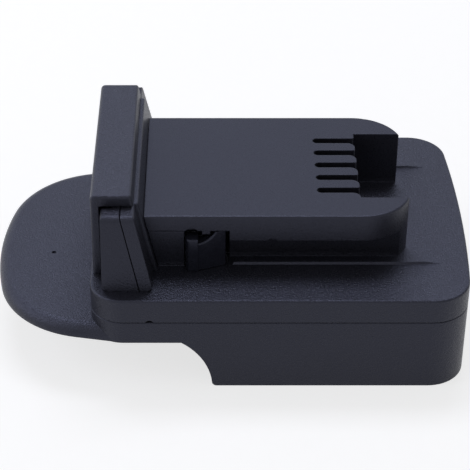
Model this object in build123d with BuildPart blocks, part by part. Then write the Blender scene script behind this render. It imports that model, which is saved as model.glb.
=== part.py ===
from build123d import *
import os
from math import radians, tan

os.makedirs("parts", exist_ok=True)

# Tool battery adapter, in millimetres.
# +X points along the tool rail, away from the tower; +Z is up; Z = 0 is the foot of the skirt.
# X = 0 is the middle of the length and Y = 0 is the plane of symmetry.

# Walls and clearances
wall = 2.4
thin_wall = 1.6
fit_gap = 0.3
slide_gap = 0.1
pin_gap = 0.03
seam_chamfer = 0.2
edge_round = 0.5
overrun = 5.0

# Body in plan
base_half_width = 39.0
base_left_x = -35.6
base_end_x = 62.0
end_bulge = 2.0
left_corner_radius = 8.5
end_corner_radius = 10.0
least_radius = 0.6

# Levels of the body
receiver_level = 14.0
seam_level = 20.3
deck_level = 27.15
floor_level = receiver_level + wall
deck_underside = deck_level - wall

# Tool rail
rail_height = 15.4
rail_half_width = 24.2
rail_end_x = 46.5
rail_corner_radius = 13.2
lip_thickness = 7.35
thin_lip_thickness = 4.35
neck_half_width = 19.5
neck_wall = 3.0
rail_skin = 2.4
rail_top = deck_level + rail_height
lip_level = rail_top - lip_thickness
thin_lip_level = rail_top - thin_lip_thickness
cavity_top = rail_top - rail_skin
cavity_half_width = neck_half_width - neck_wall

# Slots and the notch between the prongs
slot_count = 5
slot_pitch = 6.0
slot_width = 2.4
slot_length = 11.1
slot_depth = 10.0
notch_start_x = 33.4
notch_margin = 3.4
notch_half_width = (slot_count - 1) / 2 * slot_pitch + notch_margin
front_wall = 2.2

# Tower
tower_height = 23.85
cap_thickness = 2.95
cap_back_x = -34.9
cap_back_thickness = 2.1
cap_top_length = 10.1
cap_gap = 0.5
panel_foot_x = -18.55
panel_lean_share = 0.22
panel_step = 0.9
panel_half_width = 26.0
front_shell_depth = 4.2
tower_foot_inset = 4.0
tower_side_lean = 2.4
cap_end_step = 4.9
tower_foot_half_width = base_half_width - tower_foot_inset
tower_top_half_width = tower_foot_half_width - tower_side_lean
cap_half_width = tower_top_half_width - cap_end_step
tower_top = deck_level + tower_height
cap_underside = tower_top - cap_thickness
shell_top = cap_underside - fit_gap
rear_face_x = cap_back_x + cap_back_thickness + cap_gap

# Latch
button_travel = 3.0
claw_travel = 2.4
claw_left_x = -11.4
claw_length = 10.2
claw_end_gap = 0.7
claw_proud = 2.1
claw_right_x = claw_left_x + claw_length
claw_foot = deck_level + slide_gap
claw_face_y = rail_half_width + claw_proud

# Fasteners
screw_radius = 1.4
pilot_radius = screw_radius + pin_gap
clearance_radius = screw_radius + fit_gap
head_radius = 2.5
head_height = 2.0
head_hole_radius = head_radius + fit_gap
recess_length = 3.0
recess_width = 0.7
recess_depth = 1.0


def brick(xs, ys, zs, mode=Mode.ADD):
    """A block between pairs of x, y and z values."""
    with BuildSketch(Plane.XY.offset(zs[0])) as foot:
        with Locations(((xs[0] + xs[1]) / 2, (ys[0] + ys[1]) / 2)):
            Rectangle(xs[1] - xs[0], ys[1] - ys[0])
    extrude(foot.sketch, amount=zs[1] - zs[0], mode=mode)


def post(x, y, zs, radius, mode=Mode.ADD):
    """An upright cylinder between two levels."""
    with BuildSketch(Plane.XY.offset(zs[0])) as foot:
        with Locations((x, y)):
            Circle(radius)
    extrude(foot.sketch, amount=zs[1] - zs[0], mode=mode)


def rod_along_x(xs, y, z, radius, mode=Mode.ADD):
    """A cylinder that lies along X."""
    with BuildSketch(Plane.YZ.offset(xs[0])) as end:
        with Locations((y, z)):
            Circle(radius)
    extrude(end.sketch, amount=xs[1] - xs[0], mode=mode)


def rod_along_y(x, ys, z, radius, mode=Mode.ADD):
    """A cylinder that lies along Y."""
    with BuildSketch(Plane.XZ.offset(-ys[1])) as end:
        with Locations((x, z)):
            Circle(radius)
    extrude(end.sketch, amount=ys[1] - ys[0], mode=mode)


def outline(points):
    """A closed face with straight sides."""
    with BuildLine() as border:
        Polyline(*points, close=True)
    make_face(border.edges())


def side_span(side, inner, outer):
    """The y values from inner to outer on one side of the middle, in rising order."""
    return (inner, outer) if side > 0 else (-outer, -inner)


def base_outline(inset=0):
    """Plan of the body: rounded at the left, gently bulged at the right end."""
    half = base_half_width - inset
    shoulder = base_end_x - end_bulge - inset
    left = base_left_x + inset
    with BuildLine() as border:
        Polyline((shoulder, half), (left, half), (left, -half), (shoulder, -half))
        ThreePointArc((shoulder, -half), (base_end_x - inset, 0), (shoulder, half))
    make_face(border.edges())
    fillet(vertices().group_by(Axis.X)[0], max(left_corner_radius - inset, least_radius))
    fillet(vertices().group_by(Axis.X)[-1], max(end_corner_radius - inset, least_radius))


def rail_outline():
    """Plan of the tool rail: straight sides that round in at the far end."""
    start = rear_face_x
    with Locations(((start + rail_end_x) / 2, 0)):
        Rectangle(rail_end_x - start, 2 * rail_half_width)
    fillet(vertices().group_by(Axis.X)[-1], rail_corner_radius)


def leaning_x(offset, level):
    """The x of a plane parallel to the tower's panel, at a level."""
    return panel_foot_x + offset - panel_lean_share * (level - deck_level)


def screw(x, y, bearing, tip):
    """An upright screw, head down, with a cross recess in its head."""
    post(x, y, (bearing - head_height, bearing), head_radius)
    post(x, y, (bearing, tip), screw_radius)
    for long_side, short_side in ((recess_length, recess_width), (recess_width, recess_length)):
        with BuildSketch(Plane.XY.offset(bearing - head_height)) as bar:
            with Locations((x, y)):
                Rectangle(long_side, short_side)
        extrude(bar.sketch, amount=recess_depth, mode=Mode.SUBTRACT)


# Places of the housing screws, left pair and right pair
left_screw_x = -12.0
left_screw_inset = 5.8
left_screw_y = base_half_width - left_screw_inset
right_screw_x = 49.5
right_screw_inset = 3.9
right_screw_y = base_half_width - right_screw_inset
housing_bearing = receiver_level + head_height + fit_gap
housing_screw_tip = deck_level - edge_round - thin_wall
housing_screw_places = [
    (x, side * y)
    for x, y in ((left_screw_x, left_screw_y), (right_screw_x, right_screw_y))
    for side in (-1, 1)
]
boss_radius = 3.6

# Battery side of the lower housing
skirt_left_x = -4.6
arch_reach = 7.85
arch_bend_reach = 2.3
arch_bend_height = 8.2
heel_radius = 1.2
bay_end_x = 52.0
bay_half_width = 31.3
flange_reach = 4.6
flange_thickness = 3.2
pocket_wall = 2.0
side_pocket_left_x = 4.0
side_pocket_length = 39.0
side_pocket_xs = (side_pocket_left_x, side_pocket_left_x + side_pocket_length)
end_pocket_half_width = 24.0
catch_left_x = -25.0
catch_length = 11.0
catch_xs = (catch_left_x, catch_left_x + catch_length)
catch_half_width = 9.0
catch_depth = 4.4

# Tongue
tongue_root_x = -28.0
tongue_thickness = 3.4
tongue_rim_radius = 3.0
tongue_root_half_width = base_half_width - seam_chamfer
nose_x = -61.9
nose_depth = 8.0
nose_half_width = 33.9
nose_corner_radius = 26.0
dimple_x = -47.1
dimple_y = -4.2
dimple_radius = 0.6
dimple_depth = 0.5

# Holder of the battery blades, and the window that it passes through
holder_left_x = 44.6
holder_xs = (holder_left_x, bay_end_x - fit_gap)
holder_half_width = 19.0
holder_foot = 3.6
holder_neck_xs = (holder_xs[0] + thin_wall, holder_xs[1] - thin_wall)
holder_neck_half_width = holder_half_width - wall

# Circuit board
board_left_x = 33.0
board_length = 22.4
board_xs = (board_left_x, board_left_x + board_length)
board_half_width = 21.0
board_thickness = 1.6
standoff_height = 1.2
standoff_radius = 2.6
board_screw_inset = 2.8
board_screw_xs = (board_xs[0] + board_screw_inset, board_xs[1] - board_screw_inset)
board_screw_y = board_half_width - board_screw_inset
board_bottom = floor_level + standoff_height
board_top = board_bottom + board_thickness
board_screw_skin = 0.8
board_screw_foot = receiver_level + board_screw_skin

with BuildPart() as lower_housing:
    # Tongue, with its broad rounded rim
    with BuildSketch(Plane.XY.offset(receiver_level)):
        nose_shoulder_x = nose_x + nose_depth
        with BuildLine():
            Polyline(
                (nose_shoulder_x, nose_half_width),
                (tongue_root_x, tongue_root_half_width),
                (tongue_root_x, -tongue_root_half_width),
                (nose_shoulder_x, -nose_half_width),
            )
            ThreePointArc(
                (nose_shoulder_x, -nose_half_width), (nose_x, 0), (nose_shoulder_x, nose_half_width)
            )
        make_face()
        fillet(vertices().group_by(Axis.X)[0], nose_corner_radius)
    extrude(amount=tongue_thickness)
    fillet(edges().group_by(Axis.Z)[-1].sort_by(Axis.X)[:-1], tongue_rim_radius)
    post(
        dimple_x,
        dimple_y,
        (receiver_level + tongue_thickness - dimple_depth, receiver_level + tongue_thickness),
        dimple_radius,
        mode=Mode.SUBTRACT,
    )
    # Body and skirt, with the arch at the skirt's left end
    with BuildSketch():
        base_outline()
    extrude(amount=seam_level)
    with BuildSketch(Plane.XZ):
        void_left = nose_x - overrun
        with Locations(((void_left + skirt_left_x) / 2, (receiver_level - overrun) / 2)):
            Rectangle(skirt_left_x - void_left, receiver_level + overrun)
        with BuildLine():
            arch_start = (skirt_left_x - arch_reach, receiver_level)
            arch_bend = (skirt_left_x - arch_bend_reach, arch_bend_height)
            Polyline(arch_start, (skirt_left_x, receiver_level), (skirt_left_x, 0))
            ThreePointArc((skirt_left_x, 0), arch_bend, arch_start)
        make_face(mode=Mode.SUBTRACT)
    extrude(amount=base_half_width + overrun, both=True, mode=Mode.SUBTRACT)
    fillet(
        edges().filter_by(Axis.Y).group_by(Axis.Z)[0].sort_by(Axis.X)[0],
        heel_radius,
    )
    top_face = faces().filter_by(Plane.XY).sort_by(Axis.Z)[-1]
    chamfer(top_face.edges(), seam_chamfer)
    # Battery bay between the skirt walls, over the two flanges that carry the battery's rails
    bay_left = skirt_left_x - arch_reach - overrun
    throat = bay_half_width - flange_reach
    brick(
        (bay_left, bay_end_x),
        (-bay_half_width, bay_half_width),
        (flange_thickness, receiver_level),
        Mode.SUBTRACT,
    )
    brick((bay_left, bay_end_x), (-throat, throat), (0, flange_thickness), Mode.SUBTRACT)
    # Hollow above the floor
    with BuildSketch(Plane.XY.offset(floor_level)):
        base_outline(wall)
    extrude(amount=seam_level - floor_level, mode=Mode.SUBTRACT)
    # Pockets that lighten the skirt walls
    for side in (-1, 1):
        span = side_span(side, bay_half_width + pocket_wall, base_half_width - wall)
        brick(side_pocket_xs, span, (wall, floor_level), Mode.SUBTRACT)
    brick(
        (bay_end_x + wall, base_end_x - end_bulge - wall),
        (-end_pocket_half_width, end_pocket_half_width),
        (wall, floor_level),
        Mode.SUBTRACT,
    )
    # Pocket for the battery's catch, roofed inside the hollow
    roof_xs = (catch_xs[0] - thin_wall, catch_xs[1] + thin_wall)
    roof_half = catch_half_width + thin_wall
    brick(roof_xs, (-roof_half, roof_half), (floor_level, receiver_level + catch_depth + thin_wall))
    brick(
        catch_xs,
        (-catch_half_width, catch_half_width),
        (receiver_level, receiver_level + catch_depth),
        Mode.SUBTRACT,
    )
    # Columns for the housing screws
    for x, y in housing_screw_places:
        post(x, y, (floor_level, seam_level), boss_radius)
        post(x, y, (0, housing_bearing), head_hole_radius, Mode.SUBTRACT)
        post(x, y, (housing_bearing, seam_level), clearance_radius, Mode.SUBTRACT)
    # Window for the blade holder, and standoffs for the board
    brick(
        (holder_neck_xs[0] - fit_gap, holder_neck_xs[1] + fit_gap),
        (-holder_neck_half_width - fit_gap, holder_neck_half_width + fit_gap),
        (receiver_level, floor_level),
        Mode.SUBTRACT,
    )
    for x in board_screw_xs:
        for side in (-1, 1):
            post(x, side * board_screw_y, (floor_level, board_bottom), standoff_radius)
            post(x, side * board_screw_y, (board_screw_foot, board_bottom), pilot_radius, Mode.SUBTRACT)
lower_housing.part.label = "lower_housing"
export_step(lower_housing.part, "parts/lower_housing.step")


# Cover: openings, bosses and the two thin ribs on the deck
lip_step = 0.4
lip_groove_depth = 1.2
lip_groove_height = 0.35
claw_window_xs = (claw_left_x - fit_gap, claw_right_x + claw_end_gap + fit_gap)
retainer_margin = 1.2
retainer_opening_xs = (claw_window_xs[0] - retainer_margin, claw_window_xs[1] + retainer_margin)
retainer_opening_half = neck_half_width - thin_wall
carrier_opening_left_x = 12.0
carrier_opening_xs = (carrier_opening_left_x, notch_start_x - front_wall)
retainer_boss_radius = 2.7
retainer_boss_height = 5.5
retainer_boss_top = deck_level + retainer_boss_height
retainer_screw_xs = (
    retainer_opening_xs[0] - retainer_boss_radius,
    retainer_opening_xs[1] + retainer_boss_radius,
)
retainer_screw_y = cavity_half_width - retainer_boss_radius - slide_gap
retainer_places = [(x, side * retainer_screw_y) for x in retainer_screw_xs for side in (-1, 1)]
rib_clearance = 0.8
rib_start_x = claw_window_xs[1] + rib_clearance
rib_taper_x = 46.0
rib_end_x = 54.3
rib_y = 22.8
rib_width = 1.0
rib_height = 0.6
rib_draft_degrees = 25
finger_far_radius = 2.0
finger_near_radius = 0.5
tooth_start = 4.2
tooth_length = 2.1
tooth_xs = (claw_left_x + tooth_start, claw_left_x + tooth_start + tooth_length)
tooth_height = 1.0
tooth_depth = 1.7
claw_post_width = 3.2
scoop_depth = 0.6
post_scoop_radius = 1.9
post_scoop_height = 0.8
lip_scoop_x = 10.8
lip_scoop_radius = 1.5
lip_scoop_height = 0.7
pry_x = -20.4
pry_radius = 1.2
pry_drop = 0.4
pry_depth = 0.8
carrier_screw_x = 38.0
carrier_screw_y = (notch_half_width + neck_half_width) / 2
carrier_screw_grip = 6.0
foot_screw_x = -28.0
foot_screw_y = (cap_half_width + fit_gap + tower_foot_half_width) / 2
slot_centres = [(index - (slot_count - 1) / 2) * slot_pitch for index in range(slot_count)]

with BuildPart() as upper_cover:
    with BuildSketch(Plane.XY.offset(seam_level)):
        base_outline()
    extrude(amount=deck_level - seam_level)
    chamfer(faces().sort_by(Axis.Z)[0].edges(), seam_chamfer)
    fillet(faces().sort_by(Axis.Z)[-1].edges(), edge_round)
    # Tool rail, cut to the lean of the tower's panel at its left end
    with BuildSketch(Plane.XY.offset(deck_level)):
        rail_outline()
    extrude(amount=rail_height)
    with BuildSketch(Plane.XZ):
        past_top = rail_top + overrun
        past_rear = rear_face_x - overrun
        outline(
            [
                (leaning_x(slide_gap, deck_level), deck_level),
                (leaning_x(slide_gap, past_top), past_top),
                (past_rear, past_top),
                (past_rear, deck_level),
            ]
        )
    extrude(amount=rail_half_width + overrun, both=True, mode=Mode.SUBTRACT)
    fillet(faces().sort_by(Axis.Z)[-1].edges().sort_by(Axis.X)[1:], edge_round)
    for side in (-1, 1):
        # Channel under the lip, and beside the tower a wall set back a little under a groove
        past_lip = rail_half_width + overrun
        brick(
            (claw_window_xs[1], rail_end_x + overrun),
            side_span(side, neck_half_width, past_lip),
            (deck_level, lip_level),
            Mode.SUBTRACT,
        )
        brick(
            (rear_face_x, claw_window_xs[1]),
            side_span(side, rail_half_width - lip_step, past_lip),
            (deck_level, thin_lip_level),
            Mode.SUBTRACT,
        )
        brick(
            (rear_face_x, claw_window_xs[0]),
            side_span(side, rail_half_width - lip_groove_depth, past_lip),
            (thin_lip_level - lip_groove_height, thin_lip_level),
            Mode.SUBTRACT,
        )
        # Window for the claw
        brick(
            claw_window_xs,
            side_span(side, neck_half_width, past_lip),
            (deck_level, thin_lip_level),
            Mode.SUBTRACT,
        )
    # Cavity of the rail, wide beside the claws and narrow in the neck
    wide_half = rail_half_width - wall
    brick(
        (rear_face_x, claw_window_xs[1]),
        (-wide_half, wide_half),
        (deck_level, cavity_top),
        Mode.SUBTRACT,
    )
    brick(
        (claw_window_xs[1] - slide_gap, carrier_opening_xs[1]),
        (-cavity_half_width, cavity_half_width),
        (deck_level, cavity_top),
        Mode.SUBTRACT,
    )
    for side in (-1, 1):
        # Tooth that hangs from the lip into the claw's notch
        brick(
            tooth_xs,
            side_span(side, rail_half_width - tooth_depth, rail_half_width),
            (thin_lip_level - tooth_height, thin_lip_level),
        )
        # Shallow scoops in the lip's lower edge, over the claw's post and over the channel
        scoop_span = side_span(side, rail_half_width - scoop_depth, past_lip)
        rod_along_y(
            claw_left_x + claw_post_width / 2,
            scoop_span,
            thin_lip_level + post_scoop_height - post_scoop_radius,
            post_scoop_radius,
            Mode.SUBTRACT,
        )
        rod_along_y(
            lip_scoop_x,
            scoop_span,
            lip_level + lip_scoop_height - lip_scoop_radius,
            lip_scoop_radius,
            Mode.SUBTRACT,
        )
    # Hollow under the deck and the openings through it
    with BuildSketch(Plane.XY.offset(seam_level)):
        base_outline(wall)
    extrude(amount=deck_underside - seam_level, mode=Mode.SUBTRACT)
    deck_zs = (deck_underside, deck_level)
    brick(retainer_opening_xs, (-retainer_opening_half, retainer_opening_half), deck_zs, Mode.SUBTRACT)
    brick(carrier_opening_xs, (-cavity_half_width, cavity_half_width), deck_zs, Mode.SUBTRACT)
    # Notch between the prongs
    notch_xs = (notch_start_x, rail_end_x + overrun)
    brick(notch_xs, (-notch_half_width, notch_half_width), (deck_level, rail_top), Mode.SUBTRACT)
    # Slots that run from the notch into the rail, with their fingers rounded on one side
    with BuildSketch(Plane.XY.offset(rail_top - slot_depth)):
        with Locations(((notch_xs[0] + notch_xs[1]) / 2, 0)):
            Rectangle(notch_xs[1] - notch_xs[0], 2 * notch_half_width)
        slot_round_x = notch_start_x - slot_length + slot_width / 2
        for y in slot_centres:
            with Locations(((slot_round_x + notch_start_x) / 2, y)):
                Rectangle(notch_start_x - slot_round_x, slot_width)
            with Locations((slot_round_x, y)):
                Circle(slot_width / 2)
        for shift, radius in ((-slot_width / 2, finger_far_radius), (slot_width / 2, finger_near_radius)):
            for y in slot_centres:
                fillet(vertices().sort_by_distance((notch_start_x, y + shift))[0], radius)
    extrude(amount=slot_depth, mode=Mode.SUBTRACT)
    # Thin ribs on the deck, drawn to a point at the far end
    for side in (-1, 1):
        with BuildSketch(Plane.XY.offset(deck_level)):
            outline(
                [
                    (rib_start_x, side * rib_y - rib_width / 2),
                    (rib_taper_x, side * rib_y - rib_width / 2),
                    (rib_end_x, side * rib_y),
                    (rib_taper_x, side * rib_y + rib_width / 2),
                    (rib_start_x, side * rib_y + rib_width / 2),
                ]
            )
        extrude(amount=rib_height, taper=rib_draft_degrees)
        # Pry notch at the seam
        rod_along_y(
            pry_x,
            side_span(side, base_half_width - pry_depth, base_half_width + overrun),
            seam_level - pry_drop,
            pry_radius,
            Mode.SUBTRACT,
        )
        # Holes for the carrier screws and the tower foot screws
        post(
            carrier_screw_x,
            side * carrier_screw_y,
            (deck_underside, deck_level + carrier_screw_grip),
            pilot_radius,
            Mode.SUBTRACT,
        )
        post(foot_screw_x, side * foot_screw_y, deck_zs, clearance_radius, Mode.SUBTRACT)
    for x, y in retainer_places:
        post(x, y, (deck_level, retainer_boss_top), retainer_boss_radius)
        post(x, y, (deck_underside, retainer_boss_top), pilot_radius, Mode.SUBTRACT)
    for x, y in housing_screw_places:
        post(x, y, (seam_level, deck_underside), boss_radius)
        post(x, y, (seam_level, housing_screw_tip + fit_gap), pilot_radius, Mode.SUBTRACT)
upper_cover.part.label = "upper_cover"
export_step(upper_cover.part, "parts/upper_cover.step")

# Inside of the tower
tower_seam_gap = 0.25
tower_heel_radius = 1.4
tower_brow_radius = 0.8
shoulder_radius = 1.6
cap_inner_x = cap_back_x + cap_back_thickness
core_x = cap_inner_x + button_travel + fit_gap
core_half_width = cap_half_width - pocket_wall
button_spring_share = 0.614
button_spring_y = button_spring_share * cap_half_width
button_spring_height = 6.85
button_spring_z = deck_level + button_spring_height
button_spring_radius = 2.5
spring_hole_radius = button_spring_radius + fit_gap
spring_tube_wall = 1.1
spring_tube_radius = spring_hole_radius + spring_tube_wall
spring_tube_length = 4.0
spring_seat_thickness = 0.8
clamp_screw_y = button_spring_y
clamp_screw_rise = 8.0
clamp_screw_z = button_spring_z + clamp_screw_rise
clamp_bearing_x = core_x + head_height + fit_gap
clamp_grip = 3.4
foot_screw_grip = 8.0
spring_seat_x = core_x + spring_tube_length - spring_seat_thickness

# Yoke and the lug of the button that holds it
yoke_thickness = 2.0
yoke_low = retainer_boss_top + fit_gap
yoke_zs = (yoke_low, yoke_low + yoke_thickness)
shank_half_width = 6.8
lug_half_width = 8.0
lug_cover = 2.3
lug_reach = 4.4
lug_web = 0.9
lug_xs = (cap_inner_x, cap_inner_x + lug_reach)
lug_zs = (yoke_zs[0] - lug_cover, yoke_zs[1] + lug_cover)
yoke_back_x = cap_inner_x + lug_web
yoke_pin_reach = 2.6
yoke_pin_x = cap_inner_x + yoke_pin_reach
yoke_pin_y = 4.6
yoke_pin_radius = 1.0
head_back_x = -13.0
head_front_x = -3.4
head_half_width = 19.3
claw_pin_x = -6.2
claw_pin_y = 15.5
claw_pin_radius = 1.2
cam_gap = 0.08


def tower_section():
    """Side walls of the tower lean in towards the top and round over at the shoulders."""
    with BuildSketch(Plane.YZ.offset(rear_face_x - overrun)) as section:
        outline(
            [
                (-tower_foot_half_width, deck_level),
                (tower_foot_half_width, deck_level),
                (tower_top_half_width, shell_top),
                (-tower_top_half_width, shell_top),
            ]
        )
        fillet(vertices().group_by(Axis.Y)[-1], shoulder_radius)
    extrude(section.sketch, amount=panel_foot_x - rear_face_x + 2 * overrun, mode=Mode.INTERSECT)


with BuildPart() as tower_front_shell:
    with BuildSketch(Plane.XZ):
        outline(
            [
                (leaning_x(-panel_step, deck_level), deck_level),
                (leaning_x(-panel_step, shell_top), shell_top),
                (leaning_x(-front_shell_depth, shell_top), shell_top),
                (leaning_x(-front_shell_depth, deck_level), deck_level),
            ]
        )
        fillet(vertices().group_by(Axis.Y)[0].sort_by(Axis.X)[-1], tower_heel_radius)
        fillet(vertices().group_by(Axis.Y)[-1].sort_by(Axis.X)[-1], tower_brow_radius)
    extrude(amount=tower_foot_half_width, both=True)
    tower_section()
    # Raised panel that the tool rail ends against
    with BuildSketch(Plane.XZ):
        panel_root = -front_shell_depth / 2
        outline(
            [
                (leaning_x(0, deck_level), deck_level),
                (leaning_x(0, shell_top), shell_top),
                (leaning_x(panel_root, shell_top), shell_top),
                (leaning_x(panel_root, deck_level), deck_level),
            ]
        )
        fillet(vertices().group_by(Axis.Y)[-1].sort_by(Axis.X)[-1], edge_round)
    extrude(amount=panel_half_width, both=True)
    middle_z = (deck_level + shell_top) / 2
    for y in (-panel_half_width, panel_half_width):
        panel_edge = edges().sort_by_distance((leaning_x(0, middle_z), y, middle_z))[0]
        fillet(panel_edge, edge_round)
    # Window for the yoke, and holes for the clamp screws
    window_half = shank_half_width + fit_gap
    brick(
        (rear_face_x, panel_foot_x),
        (-window_half, window_half),
        (yoke_zs[0] - fit_gap, yoke_zs[1] + fit_gap),
        Mode.SUBTRACT,
    )
    for side in (-1, 1):
        rod_along_x(
            (clamp_bearing_x, clamp_bearing_x + clamp_grip + fit_gap),
            side * clamp_screw_y,
            clamp_screw_z,
            pilot_radius,
            Mode.SUBTRACT,
        )
tower_front_shell.part.label = "tower_front_shell"
export_step(tower_front_shell.part, "parts/tower_front_shell.step")

with BuildPart() as tower_rear_shell:
    rear_seam = -front_shell_depth - tower_seam_gap
    with BuildSketch(Plane.XZ):
        outline(
            [
                (rear_face_x, deck_level),
                (rear_face_x, shell_top),
                (leaning_x(rear_seam, shell_top), shell_top),
                (leaning_x(rear_seam, deck_level), deck_level),
            ]
        )
        fillet(vertices().group_by(Axis.X)[0].sort_by(Axis.Y)[0], tower_heel_radius)
        fillet(vertices().group_by(Axis.X)[0].sort_by(Axis.Y)[-1], tower_brow_radius)
    extrude(amount=tower_foot_half_width, both=True)
    tower_section()
    # Recess that the back of the button moves into
    recess_half = cap_half_width + fit_gap
    brick(
        (rear_face_x - overrun, core_x),
        (-recess_half, recess_half),
        (deck_level, shell_top + overrun),
        Mode.SUBTRACT,
    )
    # Core, open towards the front shell
    brick(
        (core_x + pocket_wall, panel_foot_x),
        (-core_half_width, core_half_width),
        (deck_level + pocket_wall, shell_top - pocket_wall),
        Mode.SUBTRACT,
    )
    for side in (-1, 1):
        # Tube for the button spring
        y = side * button_spring_y
        rod_along_x((core_x, core_x + spring_tube_length), y, button_spring_z, spring_tube_radius)
        rod_along_x((core_x, spring_seat_x), y, button_spring_z, spring_hole_radius, Mode.SUBTRACT)
        # Boss for the clamp screw, cut to the seam
        y = side * clamp_screw_y
        rod_along_x((core_x, leaning_x(rear_seam, clamp_screw_z)), y, clamp_screw_z, boss_radius)
        rod_along_x((core_x, clamp_bearing_x), y, clamp_screw_z, head_hole_radius, Mode.SUBTRACT)
        rod_along_x((clamp_bearing_x, panel_foot_x), y, clamp_screw_z, clearance_radius, Mode.SUBTRACT)
        # Hole for the foot screw
        post(
            foot_screw_x,
            side * foot_screw_y,
            (deck_level, deck_level + foot_screw_grip + fit_gap),
            pilot_radius,
            Mode.SUBTRACT,
        )
    with BuildSketch(Plane.XZ):
        outline(
            [
                (leaning_x(rear_seam, deck_level), deck_level),
                (leaning_x(rear_seam, shell_top + overrun), shell_top + overrun),
                (panel_foot_x, shell_top + overrun),
                (panel_foot_x, deck_level),
            ]
        )
    extrude(amount=tower_foot_half_width, both=True, mode=Mode.SUBTRACT)
    # Window for the lug of the button
    window_half = lug_half_width + fit_gap
    brick(
        (core_x - overrun, core_x + pocket_wall),
        (-window_half, window_half),
        (lug_zs[0] - fit_gap, lug_zs[1] + fit_gap),
        Mode.SUBTRACT,
    )
tower_rear_shell.part.label = "tower_rear_shell"
export_step(tower_rear_shell.part, "parts/tower_rear_shell.step")

# Release button: a back plate and a top plate in one
cap_foot = deck_level + fit_gap
cap_corner_radius = 1.2
cap_edge_round = 0.7
cap_front_slope = 0.65
peg_radius = 1.5
peg_length = 1.6
grip_count = 5
grip_pitch = 2.6
grip_width = 1.1
grip_depth = 0.5
grip_half_length = 16.0
grip_first_height = 9.0

with BuildPart() as release_button:
    with BuildSketch(Plane.XZ):
        front_x = cap_back_x + cap_top_length
        outline(
            [
                (cap_back_x, cap_foot),
                (cap_back_x, tower_top),
                (front_x, tower_top),
                (front_x + cap_front_slope, cap_underside),
                (cap_inner_x, cap_underside),
                (cap_inner_x, cap_foot),
            ]
        )
        fillet(vertices().group_by(Axis.Y)[-1].sort_by(Axis.X)[0], cap_corner_radius)
        fillet(vertices().group_by(Axis.Y)[-1].sort_by(Axis.X)[-1], cap_edge_round)
    extrude(amount=cap_half_width, both=True)
    for end_face in (faces().sort_by(Axis.Y)[0], faces().sort_by(Axis.Y)[-1]):
        outer = end_face.edges().filter_by(lambda edge: edge.center().Z > tower_top - cap_corner_radius)
        back = end_face.edges().filter_by(lambda edge: edge.center().X < cap_back_x + pin_gap)
        fillet(outer + back, cap_edge_round)
    # Grooves that give the finger a grip
    for index in range(grip_count):
        level = deck_level + grip_first_height + index * grip_pitch
        brick(
            (cap_back_x, cap_back_x + grip_depth),
            (-grip_half_length, grip_half_length),
            (level, level + grip_width),
            Mode.SUBTRACT,
        )
    # Lug with a slit for the yoke, its pin holes, and the pegs for the springs
    brick(lug_xs, (-lug_half_width, lug_half_width), lug_zs)
    brick(
        (yoke_back_x - slide_gap, lug_xs[1]),
        (-shank_half_width - slide_gap, shank_half_width + slide_gap),
        (yoke_zs[0] - pin_gap, yoke_zs[1] + pin_gap),
        Mode.SUBTRACT,
    )
    for side in (-1, 1):
        post(
            yoke_pin_x,
            side * yoke_pin_y,
            (lug_zs[0] + edge_round, lug_zs[1]),
            yoke_pin_radius + pin_gap,
            Mode.SUBTRACT,
        )
        rod_along_x(
            (cap_inner_x, cap_inner_x + peg_length),
            side * button_spring_y,
            button_spring_z,
            peg_radius,
        )
release_button.part.label = "release_button"
export_step(release_button.part, "parts/release_button.step")

with BuildPart() as release_yoke:
    brick((yoke_back_x, head_back_x), (-shank_half_width, shank_half_width), yoke_zs)
    brick((head_back_x, head_front_x), (-head_half_width, head_half_width), yoke_zs)
    for side in (-1, 1):
        post(yoke_pin_x, side * yoke_pin_y, yoke_zs, yoke_pin_radius + pin_gap, Mode.SUBTRACT)
        # Cam slot that draws the claw inwards
        with BuildSketch(Plane.XY.offset(yoke_zs[0])):
            with Locations(
                (claw_pin_x, side * claw_pin_y),
                (claw_pin_x - button_travel, side * (claw_pin_y - claw_travel)),
            ):
                Circle(claw_pin_radius + cam_gap)
            make_hull()
        extrude(amount=yoke_thickness, mode=Mode.SUBTRACT)
release_yoke.part.label = "release_yoke"
export_step(release_yoke.part, "parts/release_yoke.step")

with BuildPart() as yoke_pins:
    for side in (-1, 1):
        post(yoke_pin_x, side * yoke_pin_y, (lug_zs[0] + edge_round, lug_zs[1]), yoke_pin_radius)
yoke_pins.part.label = "yoke_pins"
export_step(yoke_pins.part, "parts/yoke_pins.step")

# Claws
claw_thickness = 4.1
claw_post_height = 9.5
claw_height = 10.7
claw_notch_height = 8.2
claw_ramp_start = 3.8
claw_ramp_bend = 6.8
claw_ramp_bend_height = 9.65
claw_ramp_end = 7.5
claw_face_drop = 0.3
claw_taper = 2.6
claw_post_round = 1.2
claw_edge_round = 0.35
claw_arm_bite = 0.8
arm_inset = 0.8
arm_xs = (claw_left_x + arm_inset, claw_right_x - arm_inset)
arm_end_y = 12.0
arm_top = yoke_zs[0] - fit_gap
claw_pin_top = yoke_zs[1] + edge_round
claw_spring_radius = 1.5
claw_spring_hole = claw_spring_radius + fit_gap
claw_spring_hole_y = 17.0
claw_spring_z = (claw_foot + arm_top) / 2

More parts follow.
